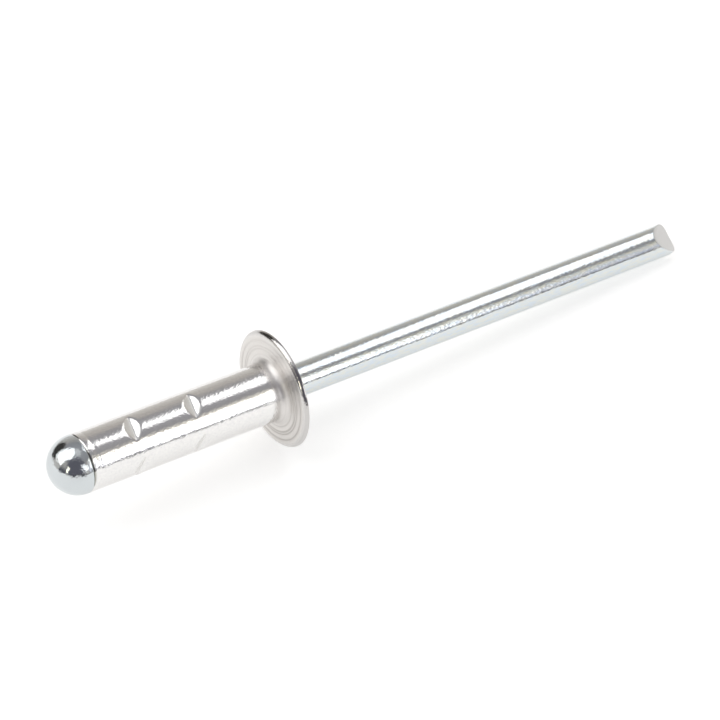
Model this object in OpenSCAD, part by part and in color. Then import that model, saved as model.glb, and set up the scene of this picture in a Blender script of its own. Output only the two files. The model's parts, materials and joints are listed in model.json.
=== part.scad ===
// Multi-grip blind rivet: a flanged aluminium tube on a zinc-plated steel mandrel.
// Each piece is drawn upright on its own axis, with zero at the underside of the flange, the mandrel's
// head below and its tail above. It is then laid down, resting on the flange's rim and on the tail.

/* [Tube] */
// Outside diameter of the tube
body_d = 4.8; // [4.2:0.1:6.4]
// Length of the tube from the underside of the flange
body_len = 17.5; // [14:0.1:25]
// Rounding of the tube's outer edge where it meets the mandrel's head
end_round = 0.3; // [0.1:0.05:0.45]
// Distance from the tube's end to the middle of the crimp line
crimp_inset = 0.7; // [0.6:0.05:1.5]
// Width of the crimp line
crimp_w = 0.4; // [0.2:0.05:0.6]
// Depth of the crimp line
crimp_depth = 0.04; // [0.02:0.01:0.1]

/* [Flange] */
// Diameter of the flange
flange_d = 9.7; // [8.5:0.1:14]
// Height of the flange at the centre of its dome
flange_h = 1.1; // [0.9:0.05:1.4]
// Thickness of the flange at its rim
rim_t = 0.44; // [0.35:0.01:0.45]
// Rounding of the flange's underside edge, which runs up to the rim
edge_round = 0.5; // [0.46:0.02:0.7]
// Fillet between the tube and the underside of the flange
fillet_r = 0.7; // [0.3:0.05:1.2]

/* [Grip dents] */
// Rows of dents along the tube
dent_rows = 2; // [1:1:3]
// Dents around the tube in each row
dents_per_row = 4; // [3:1:5]
// Distance from the tube's end to the middle of the first row
dent_start = 4.4; // [2.5:0.1:5]
// Distance between rows
dent_pitch = 5.4; // [3:0.1:6]
// Depth of a dent at its middle
dent_depth = 0.28; // [0.15:0.01:0.4]
// Width of a dent's narrow floor along the tube
dent_floor = 0.1; // [0.05:0.05:0.6]
// Run of the steeper wall on the flange's side of a dent
dent_steep_run = 0.55; // [0.1:0.05:0.6]
// Run of the gentle wall on the head's side of a dent
dent_gentle_run = 0.65; // [0.3:0.05:0.8]
// Slant of each dent from square to the axis
dent_slant = 11; // [0:1:20]
// Turn of the dents about the axis, from the top of the rivet as it lies
dent_turn = 13; // [0:1:90]

/* [Mandrel] */
// Diameter of the mandrel's shank
shank_d = 2.72; // [2:0.02:3.2]
// Gap between the shank and the tube's bore, on each side
bore_gap = 0.06; // [0.03:0.01:0.2]
// Diameter of the domed head
head_d = 4.8; // [4:0.05:5.2]
// Length of the straight band between the head's dome and the tube
head_band = 0.12; // [0.1:0.02:0.4]
// Rounding of the head's edge against the tube
head_round = 0.08; // [0.04:0.02:0.1]
// Reach of the tail from the underside of the flange
tail_reach = 39.4; // [30:0.1:60]

/* [Break notch] */
// Diameter of the neck where the mandrel breaks
notch_d = 1.9; // [1.2:0.05:1.95]
// Width of the notch at the shank's surface
notch_w = 0.9; // [0.4:0.05:1.5]
// Distance from the tube's end to the middle of the notch
notch_inset = 3.2; // [1:0.1:6]

/* [Pinched tail] */
// Angle between each flat and the axis
flat_angle = 31; // [25:1:50]
// Turn of the flats about the axis, from the top of the rivet as it lies
flat_turn = 31; // [0:1:60]
// Rounding of the cutting edge's two corners
corner_r = 0.8; // [0.3:0.05:0.9]

/* [Hidden] */
$fn = 96;
aluminium_colour = [0.82, 0.82, 0.81];
zinc_colour = [0.70, 0.73, 0.76];
// Cutting shapes stand this far clear of the surface that they cut
cut_clear = 1;
// Joined outlines reach this far into each other
overlap = 0.3;
// The corner arcs reach past the shank's side, so that they cross it and don't graze it
corner_reach = 0.05;

body_r = body_d / 2;
shank_r = shank_d / 2;
bore_r = shank_r + bore_gap;
head_r = head_d / 2;
crimp_r = (pow(crimp_w / 2, 2) + pow(crimp_depth, 2)) / (2 * crimp_depth);

flange_r = flange_d / 2;
edge_centre = flange_r - sqrt(rim_t * (2 * edge_round - rim_t));
dome_drop = flange_h - rim_t;
dome_r = (pow(flange_r, 2) + pow(dome_drop, 2)) / (2 * dome_drop);

dome_z = -body_len - head_band;
notch_depth = shank_r - notch_d / 2;
tail_flare = shank_r / tan(flat_angle);

// Lying down, the flange's rim and the edge of the lower flat touch the ground together, which makes
// the tangent of the tilt the smaller root of a quadratic
rest_span = tail_reach - rim_t;
rest_a = pow(rest_span, 2) - pow(tail_flare, 2);
rest_b = flange_r * rest_span - shank_r * tail_flare * cos(flat_turn);
rest_c = pow(flange_r, 2) - pow(shank_r, 2);
rest_tilt = atan((rest_b - sqrt(pow(rest_b, 2) - rest_a * rest_c)) / rest_a);
rest_height = flange_r * cos(rest_tilt) + rim_t * sin(rest_tilt);
rest_centre = ((tail_reach + dome_z) * cos(rest_tilt) - head_r) / 2;

module lie_down() {
    translate([-rest_centre, 0, rest_height])
        rotate([0, 90 + rest_tilt, 0])
            children();
}

// Outline of a round stem from the axis out to r, whose lower outer edge is rounded
module rounded_stem(r, low, high, edge) {
    translate([0, low])
        square([r - edge, high - low]);
    translate([0, low + edge])
        square([r, high - low - edge]);
    translate([r - edge, low + edge])
        circle(edge);
}

module flange_outline() {
    intersection() {
        union() {
            square([edge_centre, flange_h + overlap]);
            translate([edge_centre, edge_round])
                circle(edge_round);
        }
        translate([0, flange_h - dome_r])
            circle(dome_r);
    }
}

module fillet_outline() {
    difference() {
        translate([body_r - overlap, -fillet_r])
            square([fillet_r + overlap, fillet_r + rim_t / 2]);
        translate([body_r + fillet_r, -fillet_r])
            circle(fillet_r);
    }
}

module tube_outline() {
    difference() {
        union() {
            rounded_stem(body_r, -body_len, overlap, end_round);
            flange_outline();
            fillet_outline();
        }
        translate([0, -body_len - cut_clear])
            square([bore_r, body_len + flange_h + 2 * cut_clear]);
        translate([body_r + crimp_r - crimp_depth, crimp_inset - body_len])
            circle(crimp_r);
    }
}

// Section of a dent along the tube: a narrow floor between a gentle wall and a steeper one
module dent_outline() {
    rise = dent_depth + cut_clear;
    gentle = dent_gentle_run * rise / dent_depth;
    steep = dent_steep_run * rise / dent_depth;
    polygon([
        [-dent_floor / 2, 0],
        [dent_floor / 2, 0],
        [dent_floor / 2 + steep, rise],
        [-dent_floor / 2 - gentle, rise]
    ]);
}

// A straight bar pressed across the tube on a slant, so that the dent runs out to points at its two ends
module dent() {
    rotate([dent_slant, 0, 0])
        rotate([0, -90, 90])
            translate([0, body_r - dent_depth, -body_r])
                linear_extrude(body_d)
                    dent_outline();
}

module rivet_body() {
    color(aluminium_colour)
        lie_down()
            difference() {
                rotate_extrude()
                    tube_outline();
                for (row = [0 : dent_rows - 1], place = [0 : dents_per_row - 1])
                    translate([0, 0, dent_start + row * dent_pitch - body_len])
                        rotate(dent_turn + place * 360 / dents_per_row)
                            dent();
            }
}

module mandrel_outline() {
    difference() {
        union() {
            square([shank_r, tail_reach]);
            translate([0, -body_len - overlap])
                square([shank_r, body_len + 2 * overlap]);
            intersection() {
                translate([0, dome_z])
                    circle(head_r);
                translate([0, dome_z - head_d])
                    square([head_d, head_d]);
            }
            mirror([0, 1])
                rounded_stem(head_r, body_len, body_len + head_band, head_round);
        }
        translate([-head_d, dome_z - head_d])
            square([head_d, tail_reach + body_len + 2 * head_d]);
        translate([0, notch_inset - body_len])
            notch_outline();
    }
}

module notch_outline() {
    reach = (notch_w / 2) * (notch_depth + cut_clear) / notch_depth;
    polygon([
        [shank_r - notch_depth, 0],
        [shank_r + cut_clear, reach],
        [shank_r + cut_clear, -reach]
    ]);
}

// Waste outside one flat, which meets its opposite in a straight cutting edge
module flat_cut() {
    translate([0, 0, tail_reach])
        rotate([0, -flat_angle, 0])
            translate([0, -shank_d, -2 * tail_flare - shank_d])
                cube([shank_d, 2 * shank_d, 2 * (2 * tail_flare + shank_d)]);
}

// Waste outside the rounded corner at one end of the cutting edge
module corner_cut() {
    side = shank_r + corner_reach - corner_r;
    translate([0, 0, tail_reach - corner_r])
        rotate([90, 0, 90])
            translate([0, 0, -shank_d])
                linear_extrude(2 * shank_d)
                    difference() {
                        translate([side, 0])
                            square(corner_r + cut_clear);
                        translate([side, 0])
                            circle(corner_r);
                    }
}

module mandrel() {
    color(zinc_colour)
        lie_down()
            difference() {
                rotate_extrude()
                    mandrel_outline();
                for (turn = [0, 180])
                    rotate(flat_turn + turn) {
                        flat_cut();
                        corner_cut();
                    }
            }
}

rivet_body();
mandrel();
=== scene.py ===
import json
import math
import bpy
from mathutils import Matrix, Vector


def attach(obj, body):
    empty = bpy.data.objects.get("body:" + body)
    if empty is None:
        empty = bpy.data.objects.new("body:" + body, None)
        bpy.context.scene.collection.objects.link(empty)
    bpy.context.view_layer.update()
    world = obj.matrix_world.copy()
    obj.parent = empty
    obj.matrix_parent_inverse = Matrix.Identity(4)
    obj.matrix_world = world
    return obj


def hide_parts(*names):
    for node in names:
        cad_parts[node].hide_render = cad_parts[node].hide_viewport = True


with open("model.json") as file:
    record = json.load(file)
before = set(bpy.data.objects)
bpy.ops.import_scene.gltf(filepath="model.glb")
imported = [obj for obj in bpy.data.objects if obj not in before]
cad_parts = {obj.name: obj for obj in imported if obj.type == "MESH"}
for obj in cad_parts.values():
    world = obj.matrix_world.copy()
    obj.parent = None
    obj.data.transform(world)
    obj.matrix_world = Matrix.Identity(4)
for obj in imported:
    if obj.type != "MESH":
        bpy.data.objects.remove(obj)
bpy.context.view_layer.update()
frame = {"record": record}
mm = 0.001

# the rivet lies on its side: its own axis and the centre of the flange's underside come from the mounts
mounts = {m["name"]: m for m in frame["record"]["mounts"]}
tailAxis = Vector(mounts["mandrel_tail"]["axis"]).normalized()
onAxis = Vector(mounts["mandrel_tail"]["pos_m"])
flangeFoot = onAxis + tailAxis * (Vector(mounts["flange_seat"]["pos_m"]) - onAxis).dot(tailAxis)
sideways = Vector((0, 1, 0))
turnDown = Matrix((sideways.cross(tailAxis), sideways, tailAxis)).transposed()
layDown = Matrix.Translation(flangeFoot) @ turnDown.to_4x4()
print("frame: axis dips", round(math.degrees(math.asin(-tailAxis.z)), 3), "degrees to the tail")


def linear(hexColour):
    parts = [int(hexColour[i:i + 2], 16) / 255 for i in (1, 3, 5)]
    return [p / 12.92 if p <= 0.04045 else ((p + 0.055) / 1.055) ** 2.4 for p in parts] + [1.0]


# inputs go in by order or as {socket: source}, and a source is a node, an output socket or a plain value
def addNode(tree, kind, *inputs, **settings):
    made = tree.nodes.new(kind)
    for name, value in settings.items():
        setattr(made, name, value)
    sources = {}
    for place, given in enumerate(inputs):
        sources.update(given if isinstance(given, dict) else {place: given})
    for socket, source in sources.items():
        if isinstance(source, bpy.types.Node):
            source = source.outputs[0]
        if isinstance(source, bpy.types.NodeSocket):
            tree.links.new(source, made.inputs[socket])
        else:
            made.inputs[socket].default_value = source
    return made


# outlines are (radius, height along the axis) points in mm, in the rivet's own upright frame
def straight(start, end, step):
    count = max(1, round(math.dist(start, end) / step))
    return [(start[0] + (end[0] - start[0]) * i / count, start[1] + (end[1] - start[1]) * i / count)
            for i in range(count + 1)]


def arc(centre, radius, fromDeg, toDeg, step):
    count = max(2, math.ceil(math.radians(abs(toDeg - fromDeg)) * radius / step))
    angles = [math.radians(fromDeg + (toDeg - fromDeg) * i / count) for i in range(count + 1)]
    return [(centre[0] + radius * math.cos(a), centre[1] + radius * math.sin(a)) for a in angles]


# each stretch gets a row of points close to both ends, so smooth shading rounds the corners only a little
def joinStretches(stretches, hold):
    points = []
    for stretch in stretches:
        run = [Vector(p) for p in stretch]
        first, last = run[0], run[-1]
        if (run[1] - first).length > 2 * hold:
            run.insert(1, first + (run[1] - first).normalized() * hold)
        if (run[-2] - last).length > 2 * hold:
            run.insert(-1, last + (run[-2] - last).normalized() * hold)
        for p in run:
            if not points or (p - points[-1]).length > hold / 10:
                points.append(p)
    return points


# a point on the axis is one vertex, and a closed outline joins its last row to its first
def turnedMesh(name, outline, slices, startDeg, closed):
    vertices, rows, faces = [], [], []
    for point in outline:
        if point.x < 1e-9:
            rows.append([len(vertices)] * slices)
            vertices.append((0, 0, point.y * mm))
            continue
        rows.append(range(len(vertices), len(vertices) + slices))
        for i in range(slices):
            a = math.radians(startDeg) + 2 * math.pi * i / slices
            vertices.append((point.x * math.cos(a) * mm, point.x * math.sin(a) * mm, point.y * mm))
    pairs = list(zip(rows, rows[1:])) + ([(rows[-1], rows[0])] if closed else [])
    for low, high in pairs:
        for i in range(slices):
            j = (i + 1) % slices
            corners = [low[i], low[j], high[j], high[i]]
            faces.append(list(dict.fromkeys(corners)))
    mesh = bpy.data.meshes.new(name)
    mesh.from_pydata(vertices, [], faces)
    mesh.validate()
    return mesh


# a geometry tree with named inputs, set on the modifier by socket identifier
def newShaper(name, sizes):
    tree = bpy.data.node_groups.new(name, "GeometryNodeTree")
    tree.interface.new_socket("Geometry", in_out="OUTPUT", socket_type="NodeSocketGeometry")
    tree.interface.new_socket("Geometry", in_out="INPUT", socket_type="NodeSocketGeometry")
    for label in sizes:
        tree.interface.new_socket(label, in_out="INPUT", socket_type="NodeSocketFloat")
    tree.interface.new_socket("Finish", in_out="INPUT", socket_type="NodeSocketMaterial")
    return tree, addNode(tree, "NodeGroupInput").outputs


def endShaper(tree, given, moved, mark, markName):
    stored = addNode(tree, "GeometryNodeStoreNamedAttribute",
                     {"Geometry": given["Geometry"], "Name": markName, "Value": mark},
                     data_type="FLOAT", domain="POINT")
    placed = addNode(tree, "GeometryNodeSetPosition", {"Geometry": stored, "Position": moved})
    real = addNode(tree, "GeometryNodeRealizeInstances", placed)
    finish = addNode(tree, "GeometryNodeSetMaterial", {"Geometry": real, "Material": given["Finish"]})
    addNode(tree, "NodeGroupOutput", finish)


def shapePiece(name, mesh, tree, sizes, material):
    blank = bpy.data.objects.new(name + "Blank", mesh)
    bpy.context.scene.collection.objects.link(blank)
    shaper = blank.modifiers.new("shape", "NODES")
    shaper.node_group = tree
    for item in tree.interface.items_tree:
        if item.in_out == "INPUT" and item.name in sizes:
            shaper[item.identifier] = float(sizes[item.name])
        elif item.in_out == "INPUT" and item.name == "Finish":
            shaper[item.identifier] = material
    deps = bpy.context.evaluated_depsgraph_get()
    shaped = bpy.data.meshes.new_from_object(blank.evaluated_get(deps), depsgraph=deps)
    bpy.data.objects.remove(blank)
    shaped.name = name
    shaped.transform(layDown)
    shaped.shade_smooth()
    piece = bpy.data.objects.new(name, shaped)
    bpy.context.scene.collection.objects.link(piece)
    print(name, len(shaped.vertices), "vertices")
    return piece


# object coordinates turned back upright and in mm: z runs along the rivet, 0 at the flange's underside
def uprightCoords(tree):
    spot = addNode(tree, "ShaderNodeTexCoord").outputs["Object"]
    return addNode(tree, "ShaderNodeMapping",
                   {"Vector": spot, "Location": flangeFoot, "Rotation": turnDown.to_euler(),
                    "Scale": (mm, mm, mm)}, vector_type="TEXTURE")


# spots so many mm across and so many mm long on the rivet's axis
def surfaceGrain(tree, coords, grain):
    stretched = addNode(tree, "ShaderNodeMapping",
                        {"Vector": coords, "Scale": (1, 1, grain["across"] / grain["along"])})
    return addNode(tree, "ShaderNodeTexNoise",
                   {"Vector": stretched, "Scale": 1 / grain["across"], "Detail": grain["detail"]})


def newMaterial(name):
    material = bpy.data.materials.new(name)
    material.use_nodes = True
    tree = material.node_tree
    tree.nodes.clear()
    shader = addNode(tree, "ShaderNodeBsdfPrincipled")
    addNode(tree, "ShaderNodeOutputMaterial", shader)
    return material, tree, shader


# grain sizes and heights in mm, drawn two or three times coarser than the real marks so that they show
aluminium = {
    "colour": "#EFEEEB", "shade": "#DBDADA", "dull": "#DFDCD9", "ring": "#96908C", "dragged": "#E6E5E2",
    # the last two colours here are painted shade: the flange's outer edge and the joint with the head
    "edge": "#B9B6B4", "jointShade": "#8C8C82",
    "roughness": 0.09, "dullRoughness": 0.43, "pressedRoughness": 0.45,
    "pebble": {"across": 0.16, "along": 0.2, "detail": 2.0, "height": 0.012},    # tumbling marks
    "ripple": {"across": 0.9, "along": 2.2, "detail": 1.0, "height": 0.014},     # the drawn tube is uneven
    "lump": {"across": 0.55, "along": 0.45, "detail": 1.0, "height": 0.05},      # the crimped end is lumpy
    "lip": 1.3,                                        # length of that end
    "dullFade": (0.1, 0.5), "edgeShadeFade": (0.4, 0.15),   # distances in from the rim
    "edgeShadeCover": 0.7,
    "ringPitch": 0.22, "ringHeight": 0.03,             # turning marks of the die under the flange
    "scoreFade": (0.5, 0.8), "scoreCover": 0.3,
    "ringSpread": 1.3, "ringCover": 0.6,               # the three deepest rings
    # painted shade: the rings darken towards the side that lies lowest
    "shadedLowSide": (-2.5, 1.0), "highCover": 0.25,
    "gapSide": (-0.488, -0.873, 0),                    # the painted shade in the joint with the head reaches furthest on this side
    "gapReach": (0.02, 0.28), "gapSpread": (0.7, 1.0),
}


# aluminium alloy, cold-headed and tumbled bright: near mirror, with a pebble that frays each reflection
def brightAluminium():
    material, tree, shader = newMaterial("tumbled bright aluminium")
    coords = uprightCoords(tree)
    along = addNode(tree, "ShaderNodeSeparateXYZ", coords).outputs[2]
    outward = addNode(tree, "ShaderNodeVectorMath", coords, (1, 1, 0), operation="MULTIPLY")
    radius = addNode(tree, "ShaderNodeVectorMath", outward, operation="LENGTH").outputs["Value"]
    pressed = addNode(tree, "ShaderNodeAttribute", attribute_name="pressed").outputs["Fac"]
    # the die leaves the fillet and the underside of the flange duller than the tube and the rim
    nearFlange = addNode(tree, "ShaderNodeMapRange", along, -2 * tube["fillet"], -0.5 * tube["fillet"],
                         interpolation_type="SMOOTHSTEP")
    dullStart, dullEnd = (tube["flangeRadius"] - inset for inset in aluminium["dullFade"])
    insideRim = addNode(tree, "ShaderNodeMapRange", radius, dullStart, dullEnd,
                        interpolation_type="SMOOTHSTEP")
    below = addNode(tree, "ShaderNodeMath", along, 0.5 * tube["rimHeight"], operation="LESS_THAN")
    dull = addNode(tree, "ShaderNodeMath", nearFlange, insideRim, operation="MULTIPLY")
    dull = addNode(tree, "ShaderNodeMath", dull, below, operation="MULTIPLY")
    # painted shade: the outer edge of the flange is painted greyer all round, for the shadowed floor it
    # reflects
    edgeShadeStart, edgeShadeEnd = (tube["flangeRadius"] - inset for inset in aluminium["edgeShadeFade"])
    edge = addNode(tree, "ShaderNodeMapRange", radius, edgeShadeStart, edgeShadeEnd, 0.0, aluminium["edgeShadeCover"])
    lip = addNode(tree, "ShaderNodeMapRange", along, aluminium["lip"] - tube["length"], -tube["length"],
                  interpolation_type="SMOOTHSTEP")
    rings = addNode(tree, "ShaderNodeTexNoise",
                    {"W": radius, "Scale": 1 / aluminium["ringPitch"], "Detail": 1.0}, noise_dimensions="1D")
    scored = addNode(tree, "ShaderNodeMapRange", rings, *aluminium["scoreFade"], 0.0,
                     aluminium["scoreCover"])
    halfLine = aluminium["ringSpread"] * tube["ringWidth"]
    for ring in tube["ringRadii"]:
        away = addNode(tree, "ShaderNodeMath", radius, ring, operation="SUBTRACT")
        away = addNode(tree, "ShaderNodeMath", away, operation="ABSOLUTE")
        line = addNode(tree, "ShaderNodeMapRange", away, halfLine, 0.0, 0.0, aluminium["ringCover"])
        scored = addNode(tree, "ShaderNodeMath", scored, line, operation="MAXIMUM")
    scored = addNode(tree, "ShaderNodeMath", scored, dull, operation="MULTIPLY")
    # painted shade: the rings are painted darker on the side that lies lowest, next to the floor, and fade
    # towards the high side
    shadedLowSide = addNode(tree, "ShaderNodeSeparateXYZ", outward).outputs[0]
    shadedLowSide = addNode(tree, "ShaderNodeMapRange", shadedLowSide, *aluminium["shadedLowSide"],
                      aluminium["highCover"], 1.0)
    scored = addNode(tree, "ShaderNodeMath", scored, shadedLowSide, operation="MULTIPLY")
    height = addNode(tree, "ShaderNodeMath", rings, dull, operation="MULTIPLY")
    height = addNode(tree, "ShaderNodeMath", height, aluminium["ringHeight"], operation="MULTIPLY")
    for name, where in (("lump", lip), ("ripple", 1.0), ("pebble", 1.0)):
        grain = surfaceGrain(tree, coords, aluminium[name])
        pattern = addNode(tree, "ShaderNodeMath", grain, where, operation="MULTIPLY")
        height = addNode(tree, "ShaderNodeMath", pattern, aluminium[name]["height"], height,
                         operation="MULTIPLY_ADD")
    bump = addNode(tree, "ShaderNodeBump", {"Height": height, "Distance": mm})
    # painted shade in the joint where the tube meets the head, reaching further on one side
    toSide = addNode(tree, "ShaderNodeVectorMath", outward, operation="NORMALIZE")
    toSide = addNode(tree, "ShaderNodeVectorMath", toSide, aluminium["gapSide"], operation="DOT_PRODUCT")
    shut, gaping = (reach - tube["length"] for reach in aluminium["gapReach"])
    gapEnd = addNode(tree, "ShaderNodeMapRange", toSide.outputs["Value"], *aluminium["gapSpread"],
                     shut, gaping)
    jointShadeMask = addNode(tree, "ShaderNodeMapRange", along, gapEnd, -tube["length"],
                   interpolation_type="SMOOTHSTEP")
    # the rings get painted shade on their low side, and the edge and joint layers are painted shade
    tint = linear(aluminium["colour"])
    for cover, colour in ((grain, "shade"), (pressed, "dragged"), (dull, "dull"), (scored, "ring"),
                          (edge, "edge"), (jointShadeMask, "jointShade")):
        tint = addNode(tree, "ShaderNodeMix", {0: cover, 6: tint, 7: linear(aluminium[colour])},
                       data_type="RGBA").outputs[2]
    rough = aluminium["roughness"]
    for cover, value in ((dull, "dullRoughness"), (pressed, "pressedRoughness")):
        rough = addNode(tree, "ShaderNodeMix", {0: cover, 2: rough, 3: aluminium[value]}).outputs[0]
    tree.links.new(tint, shader.inputs["Base Color"])
    tree.links.new(rough, shader.inputs["Roughness"])
    tree.links.new(bump.outputs[0], shader.inputs["Normal"])
    shader.inputs["Metallic"].default_value = 1.0
    return material


# grain sizes and heights in mm, drawn two or three times coarser than the real marks so that they show
zinc = {
    "yellow": "#D8DAD5", "blue": "#CFD7DD", "head": "#CBD0D2", "sheared": "#EAEAE9",
    "roughness": 0.1, "headRoughness": 0.09, "shearedRoughness": 0.6,
    "film": {"across": 0.16, "along": 0.7, "detail": 2.0},                       # patches of passivate
    "filmSpread": (0.36, 0.64),
    "chatter": {"across": 0.2, "along": 0.3, "detail": 3.0, "height": 0.011},    # the drawing die chatters
    "scuff": {"across": 0.12, "along": 0.3, "detail": 3.0, "height": 0.014},     # one side is rubbed
    "scuffSide": (-0.735, -0.678, 0), "scuffSpread": (0.94, 0.985),
    "lump": {"across": 0.7, "along": 0.7, "detail": 2.0, "height": 0.032},       # the upset head is uneven
    "pit": {"across": 0.2, "along": 0.2, "detail": 3.0, "height": 0.014},        # crystals of its plate
    "grain": {"across": 0.07, "along": 0.07, "detail": 2.0, "height": 0.008},    # torn grain of the tail
}


# steel wire with bright zinc plate: a cool grey mirror, scuffed along one side, under a passivate that
# shifts from yellow to blue
def zincPlatedSteel():
    material, tree, shader = newMaterial("bright zinc-plated steel")
    coords = uprightCoords(tree)
    along = addNode(tree, "ShaderNodeSeparateXYZ", coords).outputs[2]
    onHead = addNode(tree, "ShaderNodeMath", along, mandrel["headTop"], operation="LESS_THAN")
    sheared = addNode(tree, "ShaderNodeAttribute", attribute_name="sheared").outputs["Fac"]
    notWire = addNode(tree, "ShaderNodeMath", onHead, sheared, operation="MAXIMUM")
    onWire = addNode(tree, "ShaderNodeMath", 1.0, notWire, operation="SUBTRACT")
    toSide = addNode(tree, "ShaderNodeVectorMath", coords, (1, 1, 0), operation="MULTIPLY")
    toSide = addNode(tree, "ShaderNodeVectorMath", toSide, operation="NORMALIZE")
    toSide = addNode(tree, "ShaderNodeVectorMath", toSide, zinc["scuffSide"], operation="DOT_PRODUCT")
    scuffed = addNode(tree, "ShaderNodeMapRange", toSide.outputs["Value"], *zinc["scuffSpread"], 0.0, onWire)
    height = 0.0
    places = {"chatter": onWire, "scuff": scuffed, "lump": onHead, "pit": onHead, "grain": sheared}
    for name, where in places.items():
        grain = surfaceGrain(tree, coords, zinc[name])
        pattern = addNode(tree, "ShaderNodeMath", grain, where, operation="MULTIPLY")
        height = addNode(tree, "ShaderNodeMath", pattern, zinc[name]["height"], height,
                         operation="MULTIPLY_ADD")
    bump = addNode(tree, "ShaderNodeBump", {"Height": height, "Distance": mm})
    film = surfaceGrain(tree, coords, zinc["film"])
    film = addNode(tree, "ShaderNodeMapRange", film, *zinc["filmSpread"])
    tint = linear(zinc["yellow"])
    for cover, colour in ((film, "blue"), (onHead, "head"), (sheared, "sheared")):
        tint = addNode(tree, "ShaderNodeMix", {0: cover, 6: tint, 7: linear(zinc[colour])},
                       data_type="RGBA").outputs[2]
    rough = zinc["roughness"]
    for cover, value in ((onHead, "headRoughness"), (sheared, "shearedRoughness")):
        rough = addNode(tree, "ShaderNodeMix", {0: cover, 2: rough, 3: zinc[value]}).outputs[0]
    tree.links.new(tint, shader.inputs["Base Color"])
    tree.links.new(rough, shader.inputs["Roughness"])
    tree.links.new(bump.outputs[0], shader.inputs["Normal"])
    shader.inputs["Metallic"].default_value = 1.0
    return material


tube = {
    "radius": 2.4, "length": 17.5, "bore": 1.42, "endRound": 0.17,
    "crimpInset": 0.7, "crimpWidth": 0.6, "crimpDepth": 0.012,
    "flangeRadius": 4.85, "flangeHeight": 1.1, "rimHeight": 0.44, "edgeRound": 0.5, "fillet": 0.7,
    "reliefStart": 3.3, "relief": 0.05,
    "ringRadii": (3.45, 3.66, 4.14), "ringWidth": 0.09, "ringDepth": 0.024,
    "slices": 320, "hold": 0.02, "wallStep": 0.4, "dentStep": 0.04, "dentReach": (1.0, 0.9),
}

# the dents are turned 13 degrees from the top of the lying rivet, which is at 180
dents = {
    "First Row": -13.1, "Row Pitch": 5.4, "Rows": 2, "Dents Per Row": 4, "Turn": math.radians(193),
    "Slant": math.radians(11), "Tube Radius": tube["radius"], "Depth": 0.28, "Floor": 0.1,
    "Steep Run": 0.55, "Gentle Run": 0.65, "Shoulder": 0.13, "Floor Round": 0.22,
}


# the underside has a shallow hollow inside its edge, and the die leaves fine rings on it
def undersideRelief(radius):
    share = (radius - tube["reliefStart"]) / (tube["flangeRadius"] - tube["reliefStart"])
    if share <= 0:
        return 0
    hump = 27 / 4 * share ** 2 * (1 - share)    # 1 at its highest
    rings = sum(math.exp(-((radius - ring) / tube["ringWidth"]) ** 2) for ring in tube["ringRadii"])
    # the rings fade in over the first tenth
    return tube["relief"] * hump + tube["ringDepth"] * rings * min(1, 10 * share)


def tubeOutline():
    r, end, bore, hold = tube["radius"], -tube["length"], tube["bore"], tube["hold"]
    crimp, half, depth = end + tube["crimpInset"], tube["crimpWidth"] / 2, tube["crimpDepth"]
    edge, flange, rim, fillet = tube["edgeRound"], tube["flangeRadius"], tube["rimHeight"], tube["fillet"]
    edgeCentre = flange - math.sqrt(rim * (2 * edge - rim))
    edgeAngle = -math.degrees(math.asin((edge - rim) / edge))
    drop = tube["flangeHeight"] - rim
    domeRadius = (flange ** 2 + drop ** 2) / (2 * drop)
    domeFoot = tube["flangeHeight"] - domeRadius
    domeStart = math.degrees(math.acos(flange / domeRadius))
    domeEnd = math.degrees(math.acos(bore / domeRadius))
    domeTop = domeFoot + math.sqrt(domeRadius ** 2 - bore ** 2)
    endRound = tube["endRound"]
    # fine rows through each row of dents, coarse rows between them
    wall = []
    low = crimp + half
    before, after = tube["dentReach"]
    for row in range(dents["Rows"]):
        middle = dents["First Row"] + row * dents["Row Pitch"]
        wall += straight((r, low), (r, middle - before), tube["wallStep"])
        wall += straight((r, middle - before), (r, middle + after), tube["dentStep"])[1:]
        low = middle + after
    wall += straight((r, low), (r, -fillet), tube["wallStep"])[1:]
    underside = (straight((r + fillet, 0), (tube["reliefStart"], 0), 0.1)
                 + straight((tube["reliefStart"], 0), (edgeCentre, 0), 0.03)[1:]
                 + arc((edgeCentre, edge), edge, -90, edgeAngle, 0.04)[1:])
    return joinStretches([
        straight((bore, end), (r - endRound, end), 0.2),
        arc((r - endRound, end + endRound), endRound, -90, 0, 0.04),
        straight((r, end + endRound), (r, crimp - half), 0.1),
        [(r - depth * (0.5 + 0.5 * math.cos(math.pi * i / 8)), crimp + half * i / 8) for i in range(-8, 9)],
        wall,
        arc((r + fillet, -fillet), fillet, 180, 90, 0.06),
        [(radius, height + undersideRelief(radius)) for radius, height in underside],
        arc((0, domeFoot), domeRadius, domeStart, domeEnd, 0.25),
        straight((bore, domeTop), (bore, end), 2.0),
    ], hold)


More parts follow.
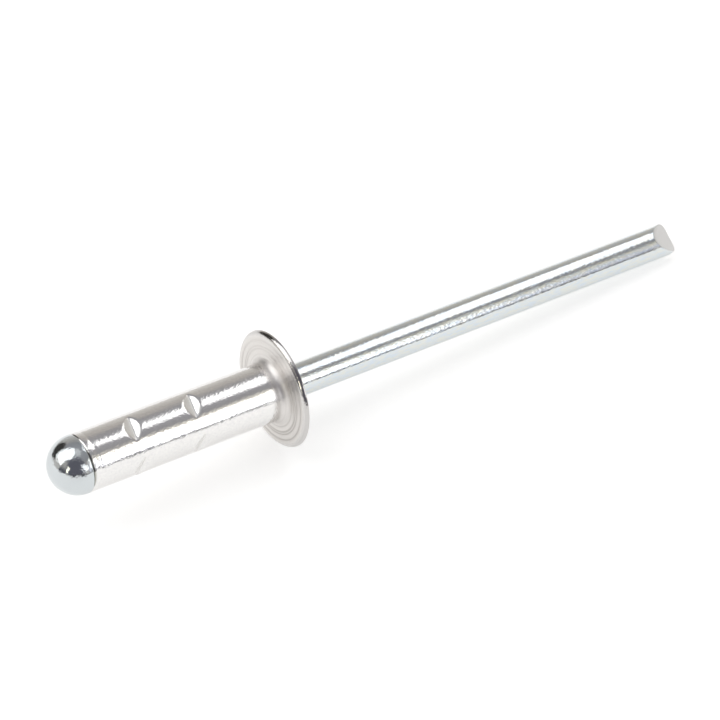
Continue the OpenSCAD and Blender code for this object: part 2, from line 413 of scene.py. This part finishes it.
# presses slanted bars into the turned tube: each dent is a blunt V with a steeper wall on the flange's side
def dentShaper():
    tree, given = newShaper("press dents", dents)
    position = addNode(tree, "GeometryNodeInputPosition")
    x, y, z = addNode(tree, "ShaderNodeSeparateXYZ", position).outputs
    outward = addNode(tree, "ShaderNodeVectorMath", position, (1, 1, 0), operation="MULTIPLY")
    radius = addNode(tree, "ShaderNodeVectorMath", outward, operation="LENGTH").outputs["Value"]
    # around and along the tube, both folded onto one dent
    around = addNode(tree, "ShaderNodeMath", y, x, operation="ARCTAN2")
    around = addNode(tree, "ShaderNodeMath", around, given["Turn"], operation="SUBTRACT")
    halfStep = addNode(tree, "ShaderNodeMath", math.pi, given["Dents Per Row"], operation="DIVIDE")
    lowStep = addNode(tree, "ShaderNodeMath", halfStep, -1.0, operation="MULTIPLY")
    folded = addNode(tree, "ShaderNodeMath", around, halfStep, lowStep, operation="WRAP")
    along = addNode(tree, "ShaderNodeMath", z, given["First Row"], operation="SUBTRACT")
    row = addNode(tree, "ShaderNodeMath", along, given["Row Pitch"], operation="DIVIDE")
    row = addNode(tree, "ShaderNodeMath", row, operation="ROUND")
    lastRow = addNode(tree, "ShaderNodeMath", given["Rows"], 1.0, operation="SUBTRACT")
    row = addNode(tree, "ShaderNodeClamp", row, 0.0, lastRow)
    rowPlace = addNode(tree, "ShaderNodeMath", row, given["Row Pitch"], operation="MULTIPLY")
    along = addNode(tree, "ShaderNodeMath", along, rowPlace, operation="SUBTRACT")
    # distance square to the slanted bar
    sine = addNode(tree, "ShaderNodeMath", folded, operation="SINE")
    across = addNode(tree, "ShaderNodeMath", radius, sine, operation="MULTIPLY")
    slantSine = addNode(tree, "ShaderNodeMath", given["Slant"], operation="SINE")
    slantCosine = addNode(tree, "ShaderNodeMath", given["Slant"], operation="COSINE")
    drift = addNode(tree, "ShaderNodeMath", across, slantSine, operation="MULTIPLY")
    offset = addNode(tree, "ShaderNodeMath", along, slantCosine, drift, operation="MULTIPLY_ADD")
    # height of the bar's lower side over the axis
    halfFloor = addNode(tree, "ShaderNodeMath", given["Floor"], 0.5, operation="MULTIPLY")
    rise = addNode(tree, "ShaderNodeMath", given["Tube Radius"], given["Depth"], operation="SUBTRACT")
    for side, run in ((1.0, given["Steep Run"]), (-1.0, given["Gentle Run"])):
        past = addNode(tree, "ShaderNodeMath", offset, side, operation="MULTIPLY")
        past = addNode(tree, "ShaderNodeMath", past, halfFloor, operation="SUBTRACT")
        past = addNode(tree, "ShaderNodeMath", past, 0.0, given["Floor Round"], operation="SMOOTH_MAX")
        slope = addNode(tree, "ShaderNodeMath", given["Depth"], run, operation="DIVIDE")
        rise = addNode(tree, "ShaderNodeMath", past, slope, rise, operation="MULTIPLY_ADD")
    cosine = addNode(tree, "ShaderNodeMath", folded, operation="COSINE")
    bar = addNode(tree, "ShaderNodeMath", rise, cosine, operation="DIVIDE")
    pressedTo = addNode(tree, "ShaderNodeMath", radius, bar, given["Shoulder"], operation="SMOOTH_MIN")
    share = addNode(tree, "ShaderNodeMath", pressedTo, radius, operation="DIVIDE")
    scale = addNode(tree, "ShaderNodeCombineXYZ", share, share, 1.0)
    moved = addNode(tree, "ShaderNodeVectorMath", position, scale, operation="MULTIPLY")
    # the floor and the gentle wall are marked, because the tool drags over them and leaves them matt
    sunk = addNode(tree, "ShaderNodeMath", radius, pressedTo, operation="SUBTRACT")
    thirdDepth = addNode(tree, "ShaderNodeMath", given["Depth"], 3.0, operation="DIVIDE")
    sunk = addNode(tree, "ShaderNodeMapRange", sunk, 0.0, thirdDepth)
    dragged = addNode(tree, "ShaderNodeMath", offset, halfFloor, operation="LESS_THAN")
    mark = addNode(tree, "ShaderNodeMath", sunk, dragged, operation="MULTIPLY")
    endShaper(tree, given, moved, mark, "pressed")
    return tree


mandrel = {
    "shankRadius": 1.36, "headRadius": 2.4, "headBand": 0.12, "headRound": 0.08, "headTop": -17.4,
    "notchRadius": 0.95, "notchWidth": 0.9, "notchInset": 3.2, "tail": 39.4, "tailRound": 0.2,
    "slices": 256, "hold": 0.02,
}

pinch = {
    "Reach": mandrel["tail"], "Flat Slope": math.tan(math.radians(31)), "Turn": math.radians(31),
    "Shank Radius": mandrel["shankRadius"], "Corner Round": 0.8, "Corner Reach": 0.05, "Start": 35.4,
    "Edge": 0.08, "Fade Start": 0.955, "Fade End": 0.995,
}


def mandrelOutline():
    shank, head, hold = mandrel["shankRadius"], mandrel["headRadius"], mandrel["hold"]
    seat = -tube["length"]
    dome = seat - mandrel["headBand"]
    edge = mandrel["headRound"]
    notch = seat + mandrel["notchInset"]
    half = mandrel["notchWidth"] / 2
    tail, soft = mandrel["tail"], mandrel["tailRound"]
    return joinStretches([
        arc((0, dome), head, -90, 0, 0.06),
        straight((head, dome), (head, seat - edge), 0.05),
        arc((head - edge, seat - edge), edge, 0, 90, 0.03),
        straight((head - edge, seat), (shank, seat), 0.3),
        straight((shank, seat), (shank, notch - half), 1.0),
        straight((shank, notch - half), (mandrel["notchRadius"], notch), 0.2),
        straight((mandrel["notchRadius"], notch), (shank, notch + half), 0.2),
        straight((shank, notch + half), (shank, pinch["Start"]), 1.5),
        straight((shank, pinch["Start"]), (shank, tail - soft), 0.06),
        arc((shank - soft, tail - soft), soft, 0, 90, 0.03),
        straight((shank - soft, tail), (0, tail), 0.05),
    ], hold)


# pinches the wire's end between two flats that meet in a straight edge with round corners
def tailShaper():
    tree, given = newShaper("pinch tail", pinch)
    position = addNode(tree, "GeometryNodeInputPosition")
    x, y, z = addNode(tree, "ShaderNodeSeparateXYZ", position).outputs
    turned = addNode(tree, "ShaderNodeVectorRotate", {"Vector": position, "Angle": given["Turn"]},
                     rotation_type="Z_AXIS", invert=True)
    across, aside = addNode(tree, "ShaderNodeSeparateXYZ", turned).outputs[:2]
    # the two flats, with a blunt edge where they meet
    fromEdge = addNode(tree, "ShaderNodeCombineXYZ", across, given["Edge"])
    fromEdge = addNode(tree, "ShaderNodeVectorMath", fromEdge, operation="LENGTH").outputs["Value"]
    fromEdge = addNode(tree, "ShaderNodeMath", fromEdge, given["Edge"], operation="SUBTRACT")
    fall = addNode(tree, "ShaderNodeMath", fromEdge, given["Flat Slope"], operation="DIVIDE")
    flat = addNode(tree, "ShaderNodeMath", given["Reach"], fall, operation="SUBTRACT")
    # the round corners at the two ends of that edge
    side = addNode(tree, "ShaderNodeMath", given["Shank Radius"], given["Corner Reach"], operation="ADD")
    side = addNode(tree, "ShaderNodeMath", side, given["Corner Round"], operation="SUBTRACT")
    past = addNode(tree, "ShaderNodeMath", aside, operation="ABSOLUTE")
    past = addNode(tree, "ShaderNodeMath", past, side, operation="SUBTRACT")
    past = addNode(tree, "ShaderNodeMath", past, 0.0, operation="MAXIMUM")
    less = addNode(tree, "ShaderNodeMath", past, past, operation="MULTIPLY")
    bow = addNode(tree, "ShaderNodeMath", given["Corner Round"], 2.0, operation="POWER")
    bow = addNode(tree, "ShaderNodeMath", bow, less, operation="SUBTRACT")
    bow = addNode(tree, "ShaderNodeMath", bow, operation="SQRT")
    drop = addNode(tree, "ShaderNodeMath", given["Corner Round"], bow, operation="SUBTRACT")
    corner = addNode(tree, "ShaderNodeMath", given["Reach"], drop, operation="SUBTRACT")
    top = addNode(tree, "ShaderNodeMath", flat, corner, given["Edge"], operation="SMOOTH_MIN")
    share = addNode(tree, "ShaderNodeMapRange", z, given["Start"], given["Reach"])
    sink = addNode(tree, "ShaderNodeMath", top, given["Reach"], operation="SUBTRACT")
    lowered = addNode(tree, "ShaderNodeMath", share, sink, z, operation="MULTIPLY_ADD")
    moved = addNode(tree, "ShaderNodeCombineXYZ", x, y, lowered)
    # the torn flats are marked, and fade into the plated wire over the soft edge around them
    mark = addNode(tree, "ShaderNodeMapRange", share, given["Fade Start"], given["Fade End"])
    endShaper(tree, given, moved, mark, "sheared")
    return tree


# angles, counts and shares stay plain
def inMetres(sizes, plain):
    return {label: value if label in plain else value * mm for label, value in sizes.items()}


tubeMesh = turnedMesh("tubeBlank", tubeOutline(), tube["slices"], 0, True)
dentSizes = inMetres(dents, ("Rows", "Dents Per Row", "Turn", "Slant"))
rivetBody = shapePiece("rivetBody", tubeMesh, dentShaper(), dentSizes, brightAluminium())
wireMesh = turnedMesh("wireBlank", mandrelOutline(), mandrel["slices"], math.degrees(pinch["Turn"]), False)
pinchSizes = inMetres(pinch, ("Flat Slope", "Turn", "Fade Start", "Fade End"))
mandrelPin = shapePiece("mandrelPin", wireMesh, tailShaper(), pinchSizes, zincPlatedSteel())
pieces = ((rivetBody, "rivet_body", "aluminium"), (mandrelPin, "mandrel", "zinc_plated_steel"))
for piece, node, slot in pieces:
    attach(piece, "root")
    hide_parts(node)
print("pieces placed")


floor = {"half": 1.5, "colour": "#DEDEDC", "roughness": 0.6, "backlight": 0.55}


# backlit opal acrylic: a plain pale table, with the shadows washed out from below
def layFloor():
    material, tree, shader = newMaterial("opal acrylic")
    shader.inputs["Base Color"].default_value = linear(floor["colour"])
    shader.inputs["Roughness"].default_value = floor["roughness"]
    shader.inputs["Emission Color"].default_value = linear("#FFFFFF")
    shader.inputs["Emission Strength"].default_value = floor["backlight"]
    half = floor["half"]
    mesh = bpy.data.meshes.new("ground")
    corners = [(-half, -half, 0), (half, -half, 0), (half, half, 0), (-half, half, 0)]
    mesh.from_pydata(corners, [], [(0, 1, 2, 3)])
    mesh.materials.append(material)
    ground = bpy.data.objects.new("ground", mesh)
    bpy.context.scene.collection.objects.link(ground)


# soft boxes: place and size in mm, glow as seen from the front
softBoxes = {
    "overhead": {"at": (247, 96, 300), "size": (325, 138), "facing": (0, 0, -1), "turn": 58,
                 "glow": 1.3, "colour": "#FFFFFF"},
    "front": {"at": (197, -350, 193), "size": (95, 310), "facing": (0, 1, 0), "turn": -15,
              "glow": 1.5, "colour": "#FFFFFF"},
    "back": {"at": (-235, 135, 323), "size": (320, 470), "facing": (0.57, -0.37, -0.73), "turn": 0,
             "glow": 1.6, "colour": "#FFFFFF"},
    "corner": {"at": (-13, -359, 175), "size": (115, 165), "facing": (0.03, 0.9, -0.44), "turn": 20,
               "glow": 1.5, "colour": "#FFFFFF"},
    "desk": {"at": (-403, -163, 140), "size": (40, 120), "facing": (0.896, 0.362, -0.259), "turn": 0,
             "glow": 4.5, "colour": "#FFFAE4"},
}


def hangLights():
    for name, box in softBoxes.items():
        lamp = bpy.data.lights.new(name, "AREA")
        lamp.shape = "RECTANGLE"
        lamp.size, lamp.size_y = (s * mm for s in box["size"])
        lamp.color = linear(box["colour"])[:3]
        lamp.energy = box["glow"] * math.pi * lamp.size * lamp.size_y
        stand = bpy.data.objects.new(name, lamp)
        aim = Vector(box["facing"]).to_track_quat("-Z", "Y").to_matrix().to_4x4()
        stand.matrix_world = (Matrix.Translation(Vector(box["at"]) * mm)
                              @ aim @ Matrix.Rotation(math.radians(box["turn"]), 4, "Z"))
        stand.visible_camera = False
        bpy.context.scene.collection.objects.link(stand)


# walls by the sine of their height angle, patches and skirting in degrees, its front by the direction's y
room = {
    "walls": ((0.0, "#E4E1DD"), (0.38, "#C5C1BC"), (0.58, "#BAB6B2"),
              (0.74, "#A09FA2"), (0.95, "#AEAEB2"), (1.0, "#EEEEEE")),
    "patches": (
        {"turn": -124, "height": 30, "size": 30, "blur": 12, "colour": "#6C6B74"},
        {"turn": 112, "height": 18, "size": 18, "blur": 10, "colour": "#464442"},
        {"turn": -176, "height": 6, "size": 13, "blur": 6, "colour": "#66666C"},
        {"turn": -55, "height": 12, "size": 18, "blur": 9, "colour": "#DCDCE6"},
        {"turn": -50, "height": 34, "size": 4, "blur": 8, "colour": "#EDE9DF"},
    ),
    "skirting": {"height": 3, "blur": 2, "front": (-0.3, -0.6), "colour": "#3C3C40"},
}


# a plain room: walls that are pale at the foot and darker above, with soft dark and pale patches
def paintRoom():
    world = bpy.data.worlds.new("room")
    bpy.context.scene.world = world
    world.use_nodes = True
    tree = world.node_tree
    tree.nodes.clear()
    spot = addNode(tree, "ShaderNodeTexCoord").outputs["Generated"]
    y, z = addNode(tree, "ShaderNodeSeparateXYZ", spot).outputs[1:]
    walls = addNode(tree, "ShaderNodeValToRGB", z)
    for place, colour in room["walls"][1:-1]:
        walls.color_ramp.elements.new(place)
    for element, (place, colour) in zip(walls.color_ramp.elements, room["walls"]):
        element.position = place
        element.color = linear(colour)
    seen = walls
    for patch in room["patches"]:
        turn, up = math.radians(patch["turn"]), math.radians(patch["height"])
        middle = (math.cos(turn) * math.cos(up), math.sin(turn) * math.cos(up), math.sin(up))
        nearness = addNode(tree, "ShaderNodeVectorMath", spot, middle, operation="DOT_PRODUCT")
        rim = math.cos(math.radians(patch["size"] + patch["blur"]))
        inside = math.cos(math.radians(patch["size"]))
        cover = addNode(tree, "ShaderNodeMapRange", nearness.outputs["Value"], rim, inside,
                        interpolation_type="SMOOTHSTEP")
        seen = addNode(tree, "ShaderNodeMix", {0: cover, 6: seen, 7: linear(patch["colour"])},
                       data_type="RGBA").outputs[2]
    # a dark line at the foot of the front wall
    line = room["skirting"]
    top = math.sin(math.radians(line["height"] + line["blur"]))
    full = math.sin(math.radians(line["height"]))
    low = addNode(tree, "ShaderNodeMapRange", z, top, full, interpolation_type="SMOOTHSTEP")
    inFront = addNode(tree, "ShaderNodeMapRange", y, *line["front"], interpolation_type="SMOOTHSTEP")
    cover = addNode(tree, "ShaderNodeMath", low, inFront, operation="MULTIPLY")
    seen = addNode(tree, "ShaderNodeMix", {0: cover, 6: seen, 7: linear(line["colour"])},
                   data_type="RGBA").outputs[2]
    addNode(tree, "ShaderNodeOutputWorld", addNode(tree, "ShaderNodeBackground", seen))


# fitted to the photo: aim and distance in mm, angles in degrees
camera = {
    "aim": (-1.905, -1.044, 4.85), "distance": 333.16, "azimuth": -33.966, "elevation": 43.736,
    "lens": 211.5,
}


def setCamera():
    data = bpy.data.cameras.new("photoView")
    data.lens = camera["lens"]
    data.clip_start, data.clip_end = 0.01, 10
    eye = bpy.data.objects.new("photoView", data)
    a, e = math.radians(camera["azimuth"]), math.radians(camera["elevation"])
    back = Vector((math.sin(a) * math.cos(e), -math.cos(a) * math.cos(e), math.sin(e)))
    eye.location = (Vector(camera["aim"]) + back * camera["distance"]) * mm
    eye.rotation_mode = "QUATERNION"
    eye.rotation_quaternion = (-back).to_track_quat("-Z", "Y")
    bpy.context.scene.collection.objects.link(eye)
    bpy.context.scene.camera = eye


layFloor()
hangLights()
paintRoom()
setCamera()
bpy.context.scene.view_settings.view_transform = "Standard"
print("studio set")
